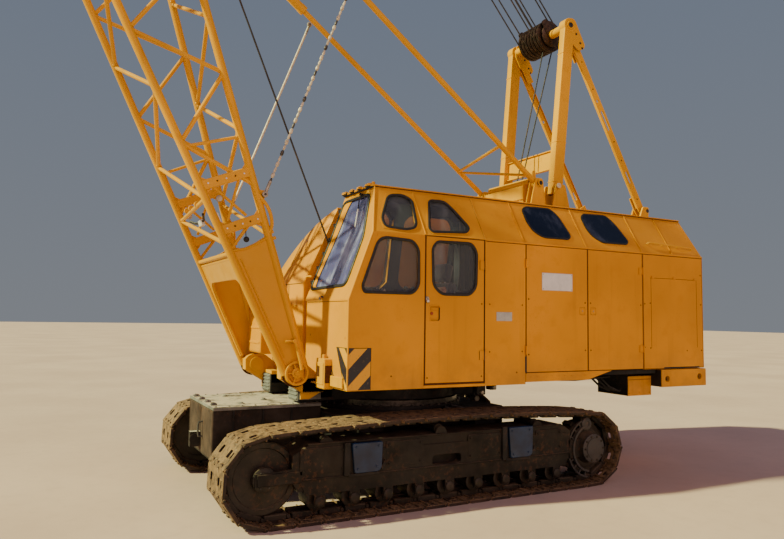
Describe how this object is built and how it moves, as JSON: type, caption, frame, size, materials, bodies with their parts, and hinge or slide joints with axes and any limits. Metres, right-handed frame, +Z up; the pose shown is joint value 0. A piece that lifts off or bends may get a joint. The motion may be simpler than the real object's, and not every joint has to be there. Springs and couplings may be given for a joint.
{
  "type": "crawler crane",
  "caption": "Lattice boom crane on two crawler tracks, with a slewing house, cab, tilting backstops, gantry ropes, service doors and hook.",
  "frame": {"origin": "on the ground under the middle of the crane's overall box, in its plane of symmetry", "axes": "+Z up, -X towards the boom and the front idlers, -Y towards the cab"},
  "size_m": [12.4758, 3.2, 17.9615],
  "materials": {
    "house_paint": "weathered amber paint with dust and light rust",
    "cab_paint": "amber paint, worn at the edges",
    "boom_paint": "amber paint, chipped on the tubes",
    "gantry_paint": "amber paint, sun bleached",
    "counterweight_paint": "amber paint over cast iron, scuffed",
    "black_frame": "black paint with dust and grease",
    "dusty_box": "dark paint under pale dust",
    "track_steel": "bare steel with brown rust and dry mud",
    "running_gear": "greasy cast steel",
    "greased_steel": "greased machined steel",
    "sheave_steel": "dark steel polished in the grooves",
    "rope_steel": "greased wire rope",
    "hook_steel": "forged steel",
    "engine_iron": "grey engine paint",
    "seat_cover": "dark woven seat cover",
    "console_plastic": "dark moulded plastic"
  },
  "bodies": {
    "undercarriage": {"carbody": "black_frame", "front_box": "dusty_box", "track_frame_left": "black_frame", "track_frame_right": "black_frame", "track_left": "track_steel", "track_right": "track_steel", "drive_sprockets": "running_gear", "front_idlers": "running_gear", "bottom_rollers": "running_gear", "carrier_rollers": "running_gear", "travel_drives": "black_frame", "slew_ring": "greased_steel"},
    "superstructure": {"revolving_frame": "black_frame", "house_body": "house_paint", "front_hood": "house_paint", "cab_shell": "cab_paint", "operator_seat": "seat_cover", "cab_controls": "console_plastic", "engine_block": "engine_iron", "counterweight": "counterweight_paint", "valve_box": "house_paint", "roof_brackets": "gantry_paint", "gantry_front_frame": "gantry_paint", "gantry_rear_struts": "gantry_paint", "gantry_sheaves": "sheave_steel"},
    "cab_door_leaf": {"cab_door": "cab_paint"},
    "left_front_door_leaf": {"left_front_service_door": "house_paint"},
    "left_rear_door_leaf": {"left_rear_service_door": "house_paint"},
    "right_front_door_leaf": {"right_front_service_door": "house_paint"},
    "right_rear_door_leaf": {"right_rear_service_door": "house_paint"},
    "boom": {"boom_foot_section": "boom_paint", "boom_middle_section": "boom_paint", "boom_head_section": "boom_paint", "head_sheaves": "sheave_steel"},
    "backstops": {"backstop_tubes": "gantry_paint"},
    "backstop_mid": {"backstop_middle_stages": "greased_steel"},
    "backstop_heads": {"backstop_sleeves": "gantry_paint"},
    "hangers": {"hanger_rods": "rope_steel"},
    "luff_guard": {"rope_guard": "gantry_paint"},
    "bridle": {"bridle_pendants": "gantry_paint"},
    "fairlead": {"rope_fairlead": "rope_steel"},
    "hoist_line": {"hoist_rope_run": "rope_steel"},
    "hook_tackle": {"hook_block": "boom_paint", "hoist_falls": "rope_steel"},
    "hook": {"swivel_hook": "hook_steel"}
  },
  "joints": [
    {"name": "slew", "type": "hinge", "parent": "undercarriage", "child": "superstructure", "pos_m": [2.00045, 0, 1.02], "axis": [0, 0, 1], "continuous": true},
    {"name": "boom_luff", "type": "hinge", "parent": "superstructure", "child": "boom", "pos_m": [0.50045, 0, 1.357], "axis": [0, -1, 0], "range_deg": [-8, 45]},
    {"name": "backstop_tilt", "type": "hinge", "parent": "superstructure", "child": "backstops", "pos_m": [3.95045, 0, 3.8], "axis": [0, -1, 0], "range_deg": [-6.12, 32.57]},
    {"name": "backstop_middle_slide", "type": "slide", "parent": "backstops", "child": "backstop_mid", "axis": [-0.7995, 0, 0.6007], "range_m": [-0.2593, 1.4217]},
    {"name": "backstop_head_slide", "type": "slide", "parent": "backstops", "child": "backstop_heads", "axis": [-0.7995, 0, 0.6007], "range_m": [-0.5107, 2.8354]},
    {"name": "hanger_tilt", "type": "hinge", "parent": "boom", "child": "hangers", "pos_m": [0.12581, 0, 3.25024], "axis": [0, -1, 0], "range_deg": [-66.1, 12.08]},
    {"name": "luff_rope_tilt", "type": "hinge", "parent": "superstructure", "child": "luff_guard", "pos_m": [4.53245, 0, 6.141], "axis": [0, -1, 0], "range_deg": [-7.96, 42.92]},
    {"name": "bridle_travel", "type": "slide", "parent": "luff_guard", "child": "bridle", "axis": [-0.658, 0, 0.753], "range_m": [-0.8597, 4.7989]},
    {"name": "hoist_rope_tilt", "type": "hinge", "parent": "superstructure", "child": "fairlead", "pos_m": [1.01545, -0.26, 2.955], "axis": [0, -1, 0], "range_deg": [-8.8, 47.65]},
    {"name": "hoist_rope_travel", "type": "slide", "parent": "fairlead", "child": "hoist_line", "axis": [-0.3933, 0, 0.9194], "range_m": [-0.2174, 1.1861]},
    {"name": "hook_hang", "type": "hinge", "parent": "boom", "child": "hook_tackle", "pos_m": [-5.85645, 0, 17.6616], "axis": [0, -1, 0], "range_deg": [-45.4, 8.4]},
    {"name": "hook_swivel", "type": "hinge", "parent": "hook_tackle", "child": "hook", "pos_m": [-6.15445, 0, 13.5616], "axis": [0, 0, 1], "continuous": true},
    {"name": "cab_door_swing", "type": "hinge", "parent": "superstructure", "child": "cab_door_leaf", "pos_m": [2.45045, -1.514, 2.05], "axis": [0, 0, 1], "range_deg": [0, 95]},
    {"name": "left_front_door_swing", "type": "hinge", "parent": "superstructure", "child": "left_front_door_leaf", "pos_m": [3.03545, -1.514, 2.1], "axis": [0, 0, -1], "range_deg": [0, 100]},
    {"name": "left_rear_door_swing", "type": "hinge", "parent": "superstructure", "child": "left_rear_door_leaf", "pos_m": [4.95145, -1.514, 2.1], "axis": [0, 0, 1], "range_deg": [0, 100]},
    {"name": "right_front_door_swing", "type": "hinge", "parent": "superstructure", "child": "right_front_door_leaf", "pos_m": [3.03545, 1.514, 2.1], "axis": [0, 0, 1], "range_deg": [0, 100]},
    {"name": "right_rear_door_swing", "type": "hinge", "parent": "superstructure", "child": "right_rear_door_leaf", "pos_m": [4.95145, 1.514, 2.1], "axis": [0, 0, -1], "range_deg": [0, 100]}
  ],
  "couplings": [
    {"joint": "backstop_tilt", "follows": "boom_luff", "ratio": 0.715},
    {"joint": "backstop_middle_slide", "follows": "boom_luff", "m_per_rad": 1.8},
    {"joint": "backstop_head_slide", "follows": "boom_luff", "m_per_rad": 3.6},
    {"joint": "hanger_tilt", "follows": "boom_luff", "ratio": -1.46},
    {"joint": "luff_rope_tilt", "follows": "boom_luff", "ratio": 0.945},
    {"joint": "bridle_travel", "follows": "boom_luff", "m_per_rad": 6.1},
    {"joint": "hoist_rope_tilt", "follows": "boom_luff", "ratio": 1.05},
    {"joint": "hoist_rope_travel", "follows": "boom_luff", "m_per_rad": 1.5},
    {"joint": "hook_hang", "follows": "boom_luff", "ratio": -1}
  ]
}
